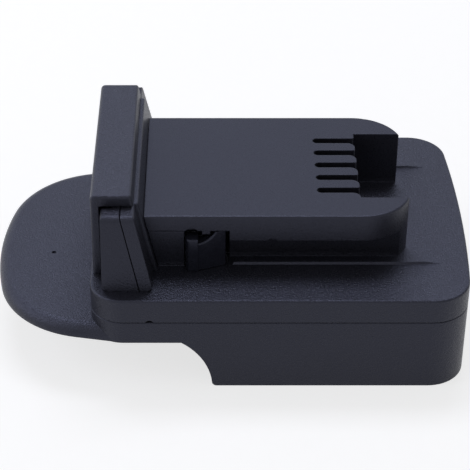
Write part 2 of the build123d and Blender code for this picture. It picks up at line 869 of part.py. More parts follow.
for side, claw_name in ((-1, "near_claw"), (1, "far_claw")):
    with BuildPart() as claw:
        # Outer part with its post, notch and ramp
        inner_y = claw_face_y - claw_thickness
        face_plane = Plane.XZ.offset(-side_span(side, inner_y, claw_face_y)[1])
        with BuildSketch(face_plane):
            with BuildLine():
                Polyline(
                    (claw_left_x + claw_ramp_start, claw_foot + claw_notch_height),
                    (claw_left_x + claw_post_width, claw_foot + claw_notch_height),
                    (claw_left_x + claw_post_width, claw_foot + claw_post_height),
                    (claw_left_x, claw_foot + claw_post_height),
                    (claw_left_x, claw_foot),
                    (claw_right_x, claw_foot),
                    (claw_right_x, claw_foot + claw_height),
                    (claw_left_x + claw_ramp_end, claw_foot + claw_height),
                )
                ThreePointArc(
                    (claw_left_x + claw_ramp_end, claw_foot + claw_height),
                    (claw_left_x + claw_ramp_bend, claw_foot + claw_ramp_bend_height),
                    (claw_left_x + claw_ramp_start, claw_foot + claw_notch_height),
                )
            make_face()
        extrude(amount=claw_thickness)
        # Face beside the post, which thins towards the ramp end
        with BuildSketch(Plane.XY.offset(claw_foot)):
            post_right_x = claw_left_x + claw_post_width
            outline(
                [
                    (post_right_x, side * (claw_face_y - claw_face_drop)),
                    (claw_right_x, side * (claw_face_y - claw_face_drop - claw_taper)),
                    (claw_right_x, side * (claw_face_y + overrun)),
                    (post_right_x, side * (claw_face_y + overrun)),
                ]
            )
        extrude(amount=claw_height, mode=Mode.SUBTRACT)
        fillet(
            edges().filter_by(Axis.Z).sort_by_distance((claw_left_x, side * claw_face_y, claw_foot))[0],
            claw_post_round,
        )
        # Rounded edges on top of the post and along the ramp
        post_middle = (claw_left_x + claw_post_width / 2, side * claw_face_y, claw_foot + claw_post_height)
        ramp_middle = (
            claw_left_x + claw_ramp_bend,
            side * (claw_face_y - claw_taper / 2),
            claw_foot + claw_ramp_bend_height,
        )
        for middle in (post_middle, ramp_middle):
            fillet(edges().sort_by_distance(middle)[0], claw_edge_round)
        # Arm, pin for the cam slot, and hole for the spring
        brick(arm_xs, side_span(side, arm_end_y, inner_y + claw_arm_bite), (claw_foot, arm_top))
        post(claw_pin_x, side * claw_pin_y, (arm_top, claw_pin_top), claw_pin_radius)
        rod_along_y(
            claw_pin_x,
            side_span(side, arm_end_y, claw_spring_hole_y),
            claw_spring_z,
            claw_spring_hole,
            Mode.SUBTRACT,
        )
    claw.part.label = claw_name
    export_step(claw.part, f"parts/{claw_name}.step")

# Retainer: a plate under the deck, with a pad that the claws slide on and a post for their springs
screw_margin = head_radius + edge_round
retainer_xs = (retainer_screw_xs[0] - screw_margin, retainer_screw_xs[1] + screw_margin)
retainer_half_width = retainer_opening_half + wall
retainer_thickness = 2.2
retainer_low = deck_underside - retainer_thickness
spring_post_half_width = 1.5
spring_post_half_length = 2.6
spring_peg_radius = 0.8
spring_peg_length = 1.4

with BuildPart() as latch_retainer:
    brick(retainer_xs, (-retainer_half_width, retainer_half_width), (retainer_low, deck_underside))
    pad_half = retainer_opening_half - fit_gap
    brick(
        (retainer_opening_xs[0] + fit_gap, retainer_opening_xs[1] - fit_gap),
        (-pad_half, pad_half),
        (deck_underside, deck_level),
    )
    brick(
        (claw_pin_x - spring_post_half_length, claw_pin_x + spring_post_half_length),
        (-spring_post_half_width, spring_post_half_width),
        (deck_level, arm_top),
    )
    peg_reach = spring_post_half_width + spring_peg_length
    rod_along_y(claw_pin_x, (-peg_reach, peg_reach), claw_spring_z, spring_peg_radius)
    for x, y in retainer_places:
        post(x, y, (retainer_low, deck_level), clearance_radius, Mode.SUBTRACT)
latch_retainer.part.label = "latch_retainer"
export_step(latch_retainer.part, "parts/latch_retainer.step")

with BuildPart() as retainer_screws:
    for x, y in retainer_places:
        screw(x, y, retainer_low, retainer_boss_top - edge_round)
retainer_screws.part.label = "retainer_screws"
export_step(retainer_screws.part, "parts/retainer_screws.step")

with BuildPart() as housing_screws:
    for x, y in housing_screw_places:
        screw(x, y, housing_bearing, housing_screw_tip)
housing_screws.part.label = "housing_screws"
export_step(housing_screws.part, "parts/housing_screws.step")

with BuildPart() as tower_foot_screws:
    for side in (-1, 1):
        screw(foot_screw_x, side * foot_screw_y, deck_underside, deck_level + foot_screw_grip)
tower_foot_screws.part.label = "tower_foot_screws"
export_step(tower_foot_screws.part, "parts/tower_foot_screws.step")

with BuildPart() as tower_clamp_screws:
    for side in (-1, 1):
        y = side * clamp_screw_y
        rod_along_x((clamp_bearing_x - head_height, clamp_bearing_x), y, clamp_screw_z, head_radius)
        rod_along_x((clamp_bearing_x, clamp_bearing_x + clamp_grip), y, clamp_screw_z, screw_radius)
        for tall, broad in ((recess_length, recess_width), (recess_width, recess_length)):
            with BuildSketch(Plane.YZ.offset(clamp_bearing_x - head_height)):
                with Locations((y, clamp_screw_z)):
                    Rectangle(tall, broad)
            extrude(amount=recess_depth, mode=Mode.SUBTRACT)
tower_clamp_screws.part.label = "tower_clamp_screws"
export_step(tower_clamp_screws.part, "parts/tower_clamp_screws.step")


# Springs
claw_spring_wire = 0.4
claw_spring_turns = 11
button_spring_wire = 0.5
button_spring_turns = 4
coil_clearance = 0.05


def coil(seat, away, length, outer_radius, wire, turns):
    """A round-wire spring that leaves its seat in a given direction."""
    clear = wire / 2 + coil_clearance
    start = Vector(seat) + Vector(away) * clear
    height = length - 2 * clear
    with BuildLine() as path:
        Helix(height / turns, height, outer_radius - wire / 2, center=start, direction=away)
    with BuildSketch(Plane(origin=path.line @ 0, z_dir=path.line % 0)) as profile:
        Circle(wire / 2)
    sweep(profile.sketch, path.line, is_frenet=True)


for side, spring_name in ((-1, "near_claw_spring"), (1, "far_claw_spring")):
    with BuildPart() as claw_spring:
        coil(
            (claw_pin_x, side * spring_post_half_width, claw_spring_z),
            (0, side, 0),
            claw_spring_hole_y - spring_post_half_width,
            claw_spring_radius,
            claw_spring_wire,
            claw_spring_turns,
        )
    claw_spring.part.label = spring_name
    export_step(claw_spring.part, f"parts/{spring_name}.step")

for side, spring_name in ((-1, "near_button_spring"), (1, "far_button_spring")):
    with BuildPart() as button_spring:
        coil(
            (spring_seat_x, side * button_spring_y, button_spring_z),
            (-1, 0, 0),
            spring_seat_x - cap_inner_x,
            button_spring_radius,
            button_spring_wire,
            button_spring_turns,
        )
    button_spring.part.label = spring_name
    export_step(button_spring.part, f"parts/{spring_name}.step")

# Contact carrier, with a pocket behind each slot
carrier_flange_xs = (carrier_opening_xs[0] - wall, carrier_screw_x + screw_margin)
carrier_flange_half_width = carrier_screw_y + screw_margin
carrier_flange_thickness = 2.0
carrier_low = deck_underside - carrier_flange_thickness
carrier_block_xs = (carrier_opening_xs[0] + fit_gap, carrier_opening_xs[1] - fit_gap)
carrier_half_width = cavity_half_width - fit_gap
carrier_top = cavity_top - fit_gap
clip_pocket_x = 18.7
clip_pocket_half_width = 2.1
clip_pocket_height = 3.4
clip_pocket_floor = deck_level + clip_pocket_height
clip_sheet = 0.5
clip_height = 5.6
clip_back_x = clip_pocket_x + fit_gap
clip_back_half_width = 1.5
clip_mouth_x = carrier_block_xs[1] - edge_round
clip_mouth_half_width = 1.6
clip_mouth_length = 2.6
clip_pinch_x = clip_mouth_x - clip_mouth_length
clip_pinch_half_width = 0.65
clip_zs = (clip_pocket_floor + fit_gap, clip_pocket_floor + fit_gap + clip_height)
clip_tail_half_width = 1.2
clip_tail_foot = board_top + fit_gap

with BuildPart() as contact_carrier:
    brick(
        carrier_flange_xs,
        (-carrier_flange_half_width, carrier_flange_half_width),
        (carrier_low, deck_underside),
    )
    brick(carrier_block_xs, (-carrier_half_width, carrier_half_width), (deck_underside, carrier_top))
    for y in slot_centres:
        brick(
            (clip_pocket_x, carrier_block_xs[1]),
            (y - clip_pocket_half_width, y + clip_pocket_half_width),
            (clip_pocket_floor, carrier_top),
            Mode.SUBTRACT,
        )
        # Hole for the tail of the clip
        tail_clear = clip_tail_half_width + slide_gap
        brick(
            (clip_back_x - slide_gap, clip_back_x + clip_sheet + slide_gap),
            (y - tail_clear, y + tail_clear),
            (carrier_low, clip_pocket_floor),
            Mode.SUBTRACT,
        )
    for side in (-1, 1):
        post(
            carrier_screw_x,
            side * carrier_screw_y,
            (carrier_low, deck_underside),
            clearance_radius,
            Mode.SUBTRACT,
        )
contact_carrier.part.label = "contact_carrier"
export_step(contact_carrier.part, "parts/contact_carrier.step")

with BuildPart() as carrier_screws:
    for side in (-1, 1):
        screw(
            carrier_screw_x,
            side * carrier_screw_y,
            carrier_low,
            deck_level + carrier_screw_grip - edge_round,
        )
carrier_screws.part.label = "carrier_screws"
export_step(carrier_screws.part, "parts/carrier_screws.step")


def clip(y):
    """A forked clip of sheet metal whose two leaves pinch a blade, with a tail to the wires."""
    with BuildLine() as leaves:
        Polyline(
            (clip_mouth_x, y + clip_mouth_half_width),
            (clip_pinch_x, y + clip_pinch_half_width),
            (clip_back_x + clip_sheet / 2, y + clip_back_half_width),
            (clip_back_x + clip_sheet / 2, y - clip_back_half_width),
            (clip_pinch_x, y - clip_pinch_half_width),
            (clip_mouth_x, y - clip_mouth_half_width),
        )
    with BuildSketch(Plane.XY.offset(clip_zs[0])) as fork:
        trace(leaves.edges(), clip_sheet)
    extrude(fork.sketch, amount=clip_zs[1] - clip_zs[0])
    brick(
        (clip_back_x, clip_back_x + clip_sheet),
        (y - clip_tail_half_width, y + clip_tail_half_width),
        (clip_tail_foot, clip_zs[0] + clip_sheet),
    )


for clip_name, clip_ys in (
    ("positive_clip", slot_centres[:1]),
    ("signal_clips", slot_centres[1:-1]),
    ("negative_clip", slot_centres[-1:]),
):
    with BuildPart() as clips:
        for y in clip_ys:
            clip(y)
    clips.part.label = clip_name
    export_step(clips.part, f"parts/{clip_name}.step")

# Wires from the board to the tails of the clips
power_wire_radius = 1.1
signal_wire_radius = 0.7
wire_lift = 0.05
wire_start_x = 38.0
wire_first_bend_x = 32.0
wire_second_bend_x = 24.5
bend_share = 0.45
power_pad_y = 9.0
signal_pad_y = 4.0
wire_end_x = clip_back_x + clip_sheet + wire_lift


def wire_run(start_y, end_y, radius):
    """A round wire laid flat over the board, with one gentle sideways step."""
    level = board_top + radius + wire_lift
    with BuildLine(Plane.XY.offset(level)) as path:
        if start_y == end_y:
            Line((wire_start_x, start_y), (wire_end_x, end_y))
        else:
            step = Vector(wire_second_bend_x - wire_first_bend_x, end_y - start_y)
            half_turn = radians(step.get_angle(Vector(-1, 0)) / 2)
            first_run = wire_start_x - wire_first_bend_x
            last_run = wire_second_bend_x - wire_end_x
            bends = [
                bend_share * min(run, step.length) / tan(half_turn) for run in (first_run, last_run)
            ]
            FilletPolyline(
                (wire_start_x, start_y),
                (wire_first_bend_x, start_y),
                (wire_second_bend_x, end_y),
                (wire_end_x, end_y),
                radius=bends,
            )
            print("wire bend radii", [round(bend, 1) for bend in bends])
    with BuildSketch(Plane(origin=path.line @ 0, z_dir=path.line % 0)) as profile:
        Circle(radius)
    sweep(profile.sketch, path.line)


power_slot_y = slot_centres[-1]
for wire_name, runs, radius in (
    ("positive_wire", [(-power_pad_y, -power_slot_y)], power_wire_radius),
    ("negative_wire", [(power_pad_y, power_slot_y)], power_wire_radius),
    (
        "signal_wires",
        [(-signal_pad_y, -slot_pitch), (0, 0), (signal_pad_y, slot_pitch)],
        signal_wire_radius,
    ),
):
    with BuildPart() as wires:
        for start_y, end_y in runs:
            wire_run(start_y, end_y, radius)
    wires.part.label = wire_name
    export_step(wires.part, f"parts/{wire_name}.step")

# Blades that the battery's terminals slide onto, each with a riser into the board
power_blade_y = 13.5
power_blade_thickness = 0.8
power_blade_foot = 5.0
power_blade_height = 6.0
power_blade_zs = (power_blade_foot, power_blade_foot + power_blade_height)
power_blade_tip_x = 26.0
signal_blade_y = -4.0
signal_blade_thickness = 0.6
signal_blade_foot = 6.5
signal_blade_height = 3.5
signal_blade_zs = (signal_blade_foot, signal_blade_foot + signal_blade_height)
signal_blade_tip_x = 34.0
riser_proud = 0.8
riser_inset = 0.4
riser_width = 2.4
riser_xs = (holder_neck_xs[0] + riser_inset, holder_neck_xs[0] + riser_inset + riser_width)
riser_top = board_top + riser_proud
blade_chamfer = 0.2
blade_corner = 1.2
blades = [
    ("positive_blade", -power_blade_y, power_blade_thickness, power_blade_zs, power_blade_tip_x),
    ("negative_blade", power_blade_y, power_blade_thickness, power_blade_zs, power_blade_tip_x),
    ("signal_blade", signal_blade_y, signal_blade_thickness, signal_blade_zs, signal_blade_tip_x),
]

for blade_name, y, thickness, levels, tip_x in blades:
    with BuildPart() as blade:
        with BuildSketch(Plane.XZ.offset(-y)) as side_face:
            outline(
                [
                    (tip_x, levels[0]),
                    (tip_x, levels[1]),
                    (riser_xs[0], levels[1]),
                    (riser_xs[0], riser_top),
                    (riser_xs[1], riser_top),
                    (riser_xs[1], levels[0]),
                ]
            )
            fillet(vertices().group_by(Axis.X)[0], blade_corner)
        extrude(side_face.sketch, amount=thickness / 2, both=True)
        chamfer(edges().filter_by(Axis.Z).group_by(Axis.X)[0], blade_chamfer)
    blade.part.label = blade_name
    export_step(blade.part, f"parts/{blade_name}.step")

with BuildPart() as blade_holder:
    brick(holder_xs, (-holder_half_width, holder_half_width), (holder_foot, receiver_level - slide_gap))
    brick(
        holder_neck_xs,
        (-holder_neck_half_width, holder_neck_half_width),
        (receiver_level - slide_gap, board_bottom - fit_gap),
    )
    chamfer(faces().sort_by(Axis.X)[0].edges(), edge_round)
    for blade_name, y, thickness, levels, tip_x in blades:
        across = (y - thickness / 2 - pin_gap, y + thickness / 2 + pin_gap)
        brick(
            (holder_xs[0], riser_xs[1] + pin_gap),
            across,
            (levels[0] - pin_gap, levels[1] + pin_gap),
            Mode.SUBTRACT,
        )
        brick(
            (riser_xs[0] - pin_gap, riser_xs[1] + pin_gap),
            across,
            (levels[1], board_bottom),
            Mode.SUBTRACT,
        )
blade_holder.part.label = "blade_holder"
export_step(blade_holder.part, "parts/blade_holder.step")

# Board and what sits on it
board_corner_radius = 1.0
board_head_radius = 2.3
board_head_height = 1.3
transistor_length = 6.4
transistor_width = 6.0
transistor_height = 2.3
transistor_x = 42.6
transistor_y = 11.0
chip_height = 1.1
main_chip_x = 43.0
main_chip_length = 4.9
main_chip_width = 3.9
small_chip_length = 3.0
small_chip_width = 2.2
small_chip_first_y = -6.5
small_chip_pitch = 5.0
capacitor_radius = 2.5
capacitor_length = 9.5
capacitor_first_y = 1.0
capacitor_x = 51.4
capacitor_ys = (capacitor_first_y, capacitor_first_y + capacitor_length)
capacitor_groove = 0.3
capacitor_groove_width = 0.6

with BuildPart() as circuit_board:
    with BuildSketch(Plane.XY.offset(board_bottom)):
        with Locations(((board_xs[0] + board_xs[1]) / 2, 0)):
            Rectangle(board_xs[1] - board_xs[0], 2 * board_half_width)
        fillet(vertices(), board_corner_radius)
    extrude(amount=board_thickness)
    for x in board_screw_xs:
        for side in (-1, 1):
            post(x, side * board_screw_y, (board_bottom, board_top), clearance_radius, Mode.SUBTRACT)
    for blade_name, y, thickness, levels, tip_x in blades:
        brick(
            (riser_xs[0] - slide_gap, riser_xs[1] + slide_gap),
            (y - thickness / 2 - slide_gap, y + thickness / 2 + slide_gap),
            (board_bottom, board_top),
            Mode.SUBTRACT,
        )
circuit_board.part.label = "circuit_board"
export_step(circuit_board.part, "parts/circuit_board.step")

with BuildPart() as board_screws:
    for x in board_screw_xs:
        for side in (-1, 1):
            y = side * board_screw_y
            post(x, y, (board_screw_foot + fit_gap, board_top), screw_radius)
            post(x, y, (board_top, board_top + board_head_height), board_head_radius)
            for long_side, short_side in ((recess_length, recess_width), (recess_width, recess_length)):
                brick(
                    (x - long_side / 2, x + long_side / 2),
                    (y - short_side / 2, y + short_side / 2),
                    (board_top + board_head_height - recess_depth, board_top + board_head_height),
                    Mode.SUBTRACT,
                )
board_screws.part.label = "board_screws"
export_step(board_screws.part, "parts/board_screws.step")

with BuildPart() as transistors:
    for side in (-1, 1):
        with Locations((transistor_x, side * transistor_y, board_top + transistor_height / 2)):
            Box(transistor_length, transistor_width, transistor_height)
transistors.part.label = "transistors"
export_step(transistors.part, "parts/transistors.step")

with BuildPart() as board_chips:
    chip_level = board_top + chip_height / 2
    with Locations((main_chip_x, 0, chip_level)):
        Box(main_chip_length, main_chip_width, chip_height)
    with Locations(
        (capacitor_x, small_chip_first_y, chip_level),
        (capacitor_x, small_chip_first_y - small_chip_pitch, chip_level),
    ):
        Box(small_chip_length, small_chip_width, chip_height)
board_chips.part.label = "board_chips"
export_step(board_chips.part, "parts/board_chips.step")

with BuildPart() as capacitor:
    rod_along_y(capacitor_x, capacitor_ys, board_top + capacitor_radius, capacitor_radius)
    # Crimp near one end of the can
    crimp_y = capacitor_ys[0] + 2 * capacitor_groove_width
    with BuildSketch(Plane.XZ.offset(-crimp_y - capacitor_groove_width)):
        with Locations((capacitor_x, board_top + capacitor_radius)):
            Circle(capacitor_radius)
            Circle(capacitor_radius - capacitor_groove, mode=Mode.SUBTRACT)
    extrude(amount=capacitor_groove_width, mode=Mode.SUBTRACT)
capacitor.part.label = "capacitor"
export_step(capacitor.part, "parts/capacitor.step")
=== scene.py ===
from math import cos, pi, radians, sin

import bmesh
import bpy
from mathutils import Matrix, Vector


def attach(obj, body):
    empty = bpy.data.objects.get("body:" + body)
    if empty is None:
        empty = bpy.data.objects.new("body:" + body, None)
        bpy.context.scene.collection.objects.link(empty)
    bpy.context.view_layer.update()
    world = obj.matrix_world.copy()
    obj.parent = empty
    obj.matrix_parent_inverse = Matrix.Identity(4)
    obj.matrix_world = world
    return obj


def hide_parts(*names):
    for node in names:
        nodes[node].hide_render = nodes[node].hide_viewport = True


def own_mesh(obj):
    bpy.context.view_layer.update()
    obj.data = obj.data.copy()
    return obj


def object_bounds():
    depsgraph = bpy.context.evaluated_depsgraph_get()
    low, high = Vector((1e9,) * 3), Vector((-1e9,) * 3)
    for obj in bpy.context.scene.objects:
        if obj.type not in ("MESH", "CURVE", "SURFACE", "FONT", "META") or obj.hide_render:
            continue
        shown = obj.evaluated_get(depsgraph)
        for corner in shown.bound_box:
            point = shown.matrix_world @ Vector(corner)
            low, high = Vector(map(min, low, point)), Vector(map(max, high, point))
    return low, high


# Tool battery adapter in dark moulded plastic: looks, floor, lights and camera, in metres.
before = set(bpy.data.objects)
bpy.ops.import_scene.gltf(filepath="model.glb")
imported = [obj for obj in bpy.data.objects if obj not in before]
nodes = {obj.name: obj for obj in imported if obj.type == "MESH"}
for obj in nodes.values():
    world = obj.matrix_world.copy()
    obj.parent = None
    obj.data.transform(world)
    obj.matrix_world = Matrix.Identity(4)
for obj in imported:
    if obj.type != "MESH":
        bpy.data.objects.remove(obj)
cad_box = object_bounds()
MM = 0.001

# Sheen, edge width and grain of the dark plastics, with lengths in mm.
# The grain is drawn as coarse as it needs to be to show in the render.
COOL_SHEEN = (0.68, 0.72, 1.0, 1.0)
EDGE_SHINE = 0.35
EDGE_SAMPLES = 4
GRAIN_SIZE = 0.42
GRAIN_DEPTH = 0.18
CLOUD_SIZE = 14.0
GRAIN_FADE_HEIGHTS = (27.6, 28.4)
SMOOTH_TOP_SHARE = 0.25

# Range that most of a noise lies in, and the part of it in which a fibre shows pale
NOISE_LOW = 0.3
NOISE_HIGH = 0.7
FLECK_LOW = 0.55
FLECK_HIGH = 0.75

# Pitch of the board's weave in mm, and the angle in radians that a wave texture turns per unit
WEAVE_PITCH = 0.6
WAVE_TURN = 20


# Colours and nodes
def linear(hex_colour):
    """An sRGB hex colour as linear red, green, blue and alpha."""
    channels = [int(hex_colour[i : i + 2], 16) / 255 for i in (1, 3, 5)]
    return tuple(c / 12.92 if c <= 0.04045 else ((c + 0.055) / 1.055) ** 2.4 for c in channels) + (1.0,)


def across(size_mm):
    """The scale at which the blobs of a noise are about size_mm across."""
    return 1 / (size_mm * MM)


def add(tree, kind, inputs=None, **settings):
    """Adds one node, with its settings, and its inputs set to values or linked to sockets."""
    node = tree.nodes.new(kind)
    for name, value in settings.items():
        setattr(node, name, value)
    for name, value in (inputs or {}).items():
        if isinstance(value, bpy.types.NodeSocket):
            tree.links.new(value, node.inputs[name])
        else:
            node.inputs[name].default_value = value
    return node


def start(name, **values):
    """A new material with its Principled shader, its tree and the piece's own coordinates."""
    material = bpy.data.materials.new(name)
    material.use_nodes = True
    tree = material.node_tree
    shader = tree.nodes["Principled BSDF"]
    for socket, value in values.items():
        shader.inputs[socket.replace("_", " ")].default_value = value
    place = add(tree, "ShaderNodeTexCoord").outputs["Object"]
    return material, tree, shader, place


def seen_rays(tree):
    """The kinds of ray, and 1 where a camera or glass looks straight at the surface."""
    rays = add(tree, "ShaderNodeLightPath").outputs
    straight = {0: rays["Is Camera Ray"], 1: rays["Is Transmission Ray"]}
    return rays, add(tree, "ShaderNodeMath", straight, operation="MAXIMUM").outputs[0]


def colour(tree, shader, pattern, dark, light):
    """Colours the surface between two tones, by a pattern."""
    tones = {"Factor": pattern, "A": linear(dark), "B": linear(light)}
    mixed = add(tree, "ShaderNodeMix", tones, data_type="RGBA")
    tree.links.new(mixed.outputs["Result"], shader.inputs["Base Color"])


def roughen(tree, shader, pattern, low, high):
    """Makes the surface between two roughnesses, by a noise."""
    limits = {"From Min": NOISE_LOW, "From Max": NOISE_HIGH, "To Min": low, "To Max": high}
    rough = add(tree, "ShaderNodeMapRange", {"Value": pattern, **limits})
    tree.links.new(rough.outputs["Result"], shader.inputs["Roughness"])


def relief(tree, shader, pattern, depth_mm, edge_mm=0.0):
    """Raises the surface by depth_mm, and lets its edges shine as if rounded by edge_mm."""
    bump = add(tree, "ShaderNodeBump", {"Height": pattern, "Distance": depth_mm * MM})
    if edge_mm:
        edge = add(tree, "ShaderNodeBevel", {"Radius": edge_mm * MM}, samples=EDGE_SAMPLES)
        tree.links.new(edge.outputs["Normal"], bump.inputs["Normal"])
    tree.links.new(bump.outputs["Normal"], shader.inputs["Normal"])


def abs_plastic(name):
    """Dark ABS with its grain in the sheen and a faint cloud in the colour, and the grain."""
    material, tree, shader, place = start(name, IOR=1.54, Specular_Tint=COOL_SHEEN)
    wide = {"Vector": place, "Scale": across(CLOUD_SIZE)}
    fine = {"Vector": place, "Scale": across(GRAIN_SIZE), "Detail": 3.0, "Roughness": 0.6}
    cloud = add(tree, "ShaderNodeTexNoise", wide).outputs["Fac"]
    grain = add(tree, "ShaderNodeTexNoise", fine).outputs["Fac"]
    colour(tree, shader, cloud, "#25252b", "#292930")
    roughen(tree, shader, grain, low=0.24, high=0.38)
    return material, tree, shader, place, grain


def grained_abs():
    """Dark ABS moulded in a spark-eroded tool: a fine even grain that breaks up its soft sheen."""
    material, tree, shader, place, grain = abs_plastic("grained_abs")
    relief(tree, shader, grain, GRAIN_DEPTH, EDGE_SHINE)
    return material


def rail_abs():
    """The same ABS, grained on the deck and nearly smooth on the rail's top: an even sheen."""
    material, tree, shader, place, grain = abs_plastic("rail_abs")
    height = add(tree, "ShaderNodeSeparateXYZ", {"Vector": place}).outputs["Z"]
    low, high = (level * MM for level in GRAIN_FADE_HEIGHTS)
    limits = {"From Min": low, "From Max": high, "To Min": 1.0, "To Max": SMOOTH_TOP_SHARE}
    fade = add(tree, "ShaderNodeMapRange", {"Value": height, **limits}).outputs["Result"]
    softened = add(tree, "ShaderNodeMath", {0: grain, 1: fade}, operation="MULTIPLY").outputs[0]
    relief(tree, shader, softened, GRAIN_DEPTH, EDGE_SHINE)
    return material


def acetal():
    """Moulded acetal: smooth and slippery, slightly bluer than the body, with a waxy shine."""
    material, tree, shader, place = start("acetal", IOR=1.48, Specular_Tint=COOL_SHEEN)
    flow = add(tree, "ShaderNodeTexNoise", {"Vector": place, "Scale": across(2.5)}).outputs["Fac"]
    skin = add(tree, "ShaderNodeTexNoise", {"Vector": place, "Scale": across(0.5)}).outputs["Fac"]
    colour(tree, shader, flow, "#25262f", "#2a2b35")
    roughen(tree, shader, flow, low=0.22, high=0.32)
    relief(tree, shader, skin, depth_mm=0.01, edge_mm=EDGE_SHINE)
    return material


def filled_nylon():
    """Glass-filled nylon: dull black with the pale fleck of its fibres."""
    material, tree, shader, place = start("filled_nylon", IOR=1.53)
    fibres = {"Vector": place, "Scale": across(0.25), "Detail": 4.0, "Roughness": 0.7}
    fleck = add(tree, "ShaderNodeTexNoise", fibres).outputs["Fac"]
    limits = {"From Min": FLECK_LOW, "From Max": FLECK_HIGH}
    pale = add(tree, "ShaderNodeMapRange", {"Value": fleck, **limits}).outputs["Result"]
    colour(tree, shader, pale, "#1b1b1d", "#2b2b2d")
    roughen(tree, shader, fleck, low=0.55, high=0.75)
    relief(tree, shader, fleck, depth_mm=0.02)
    return material


def metal(name, dark, light, rough, streak_mm, along):
    """A metal with fine marks that catch the light, drawn out along an axis whose scale is low."""
    material, tree, shader, place = start(name, Metallic=1.0)
    stretch = add(tree, "ShaderNodeMapping", {"Vector": place, "Scale": along}).outputs["Vector"]
    marks = {"Vector": stretch, "Scale": across(streak_mm), "Detail": 3.0}
    streak = add(tree, "ShaderNodeTexNoise", marks).outputs["Fac"]
    colour(tree, shader, streak, dark, light)
    roughen(tree, shader, streak, *rough)
    relief(tree, shader, streak, depth_mm=0.004)
    return material


def board_laminate():
    """Woven glass laminate under green lacquer: glossy, with the faint weave of its cloth."""
    gloss = {"IOR": 1.5, "Coat_Weight": 0.4, "Coat_Roughness": 0.15, "Roughness": 0.35}
    material, tree, shader, place = start("board_laminate", **gloss)
    scale = 2 * pi / (WAVE_TURN * WEAVE_PITCH * MM)
    waves = {"Vector": place, "Scale": scale, "Distortion": 0.4}
    warp, weft = (
        add(tree, "ShaderNodeTexWave", waves, bands_direction=axis).outputs["Fac"]
        for axis in ("X", "Y")
    )
    cross = add(tree, "ShaderNodeMath", {0: warp, 1: weft}, operation="MAXIMUM").outputs[0]
    colour(tree, shader, cross, "#0f3a22", "#1c5a35")
    relief(tree, shader, cross, depth_mm=0.01)
    return material


def epoxy():
    """Moulded epoxy of small components: flat black with the fine grit of its mould."""
    material, tree, shader, place = start("epoxy", IOR=1.55)
    grit = add(tree, "ShaderNodeTexNoise", {"Vector": place, "Scale": across(0.12)}).outputs["Fac"]
    colour(tree, shader, grit, "#131314", "#1d1d1f")
    roughen(tree, shader, grit, low=0.5, high=0.7)
    relief(tree, shader, grit, depth_mm=0.01)
    return material


def vinyl(name, dark, light):
    """Extruded vinyl insulation: glossy, with a slightly uneven colour and skin."""
    material, tree, shader, place = start(name, IOR=1.52)
    drag = add(tree, "ShaderNodeTexNoise", {"Vector": place, "Scale": across(3.0)}).outputs["Fac"]
    skin = add(tree, "ShaderNodeTexNoise", {"Vector": place, "Scale": across(0.4)}).outputs["Fac"]
    colour(tree, shader, drag, dark, light)
    roughen(tree, shader, drag, low=0.28, high=0.4)
    relief(tree, shader, skin, depth_mm=0.01)
    return material


body_plastic = grained_abs()
cover_plastic = rail_abs()
latch_plastic = acetal()
inner_plastic = filled_nylon()

# Brass strip, rolled and stamped: warm yellow with long marks down the blades and clips
stamped_brass = metal(
    "stamped_brass", "#a8843c", "#d9b96a", rough=(0.22, 0.38), streak_mm=0.4, along=(0.15, 1.0, 1.0)
)
# Bright zinc on steel screws: pale bluish grey, with marks a little longer upwards
zinc_plate = metal(
    "zinc_plate", "#8a8b90", "#b9babf", rough=(0.28, 0.45), streak_mm=0.5, along=(1.0, 1.0, 0.4)
)
# Drawn and coiled spring wire: mid grey and finely mottled
spring_steel = metal(
    "spring_steel", "#85868a", "#b4b5ba", rough=(0.2, 0.34), streak_mm=0.3, along=(1.0, 1.0, 1.0)
)
# Deep-drawn aluminium can: bright, with long marks down its length
drawn_can = metal(
    "drawn_can", "#a9abb0", "#d4d6da", rough=(0.18, 0.3), streak_mm=0.6, along=(1.0, 0.1, 1.0)
)

laminate = board_laminate()
component_epoxy = epoxy()
red_vinyl = vinyl("red_vinyl", "#8e1512", "#b3221c")
black_vinyl = vinyl("black_vinyl", "#161618", "#202023")
yellow_vinyl = vinyl("yellow_vinyl", "#b98d12", "#d5a81e")

finishes = {
    body_plastic: ["lower_housing", "tower_front_shell", "tower_rear_shell", "release_button"],
    cover_plastic: ["upper_cover"],
    latch_plastic: ["near_claw", "far_claw", "release_yoke"],
    inner_plastic: ["latch_retainer", "contact_carrier", "blade_holder"],
    stamped_brass: [
        "positive_clip",
        "negative_clip",
        "signal_clips",
        "positive_blade",
        "negative_blade",
        "signal_blade",
    ],
    zinc_plate: [
        "housing_screws",
        "retainer_screws",
        "carrier_screws",
        "tower_foot_screws",
        "tower_clamp_screws",
        "board_screws",
    ],
    spring_steel: [
        "near_claw_spring",
        "far_claw_spring",
        "near_button_spring",
        "far_button_spring",
        "yoke_pins",
    ],
    drawn_can: ["capacitor"],
    laminate: ["circuit_board"],
    component_epoxy: ["transistors", "board_chips"],
    red_vinyl: ["positive_wire"],
    black_vinyl: ["negative_wire"],
    yellow_vinyl: ["signal_wires"],
}
for material, names in finishes.items():
    for name in names:
        nodes[name].data.materials.clear()
        nodes[name].data.materials.append(material)


def squashing_spring(solid_name):
    """A spring in place of its solid: a copy with its own mesh, carried by the housing."""
    solid = nodes[solid_name]
    spring = bpy.data.objects.new(solid_name + "_coil", solid.data.copy())
    bpy.context.scene.collection.objects.link(spring)
    spring.matrix_world = solid.matrix_world.copy()
    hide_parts(solid_name)
    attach(spring, "housing")
    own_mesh(spring)


for side, end in ((-1, "near"), (1, "far")):
    squashing_spring(
        end + "_button_spring"
    )
    squashing_spring(
        end + "_claw_spring"
    )


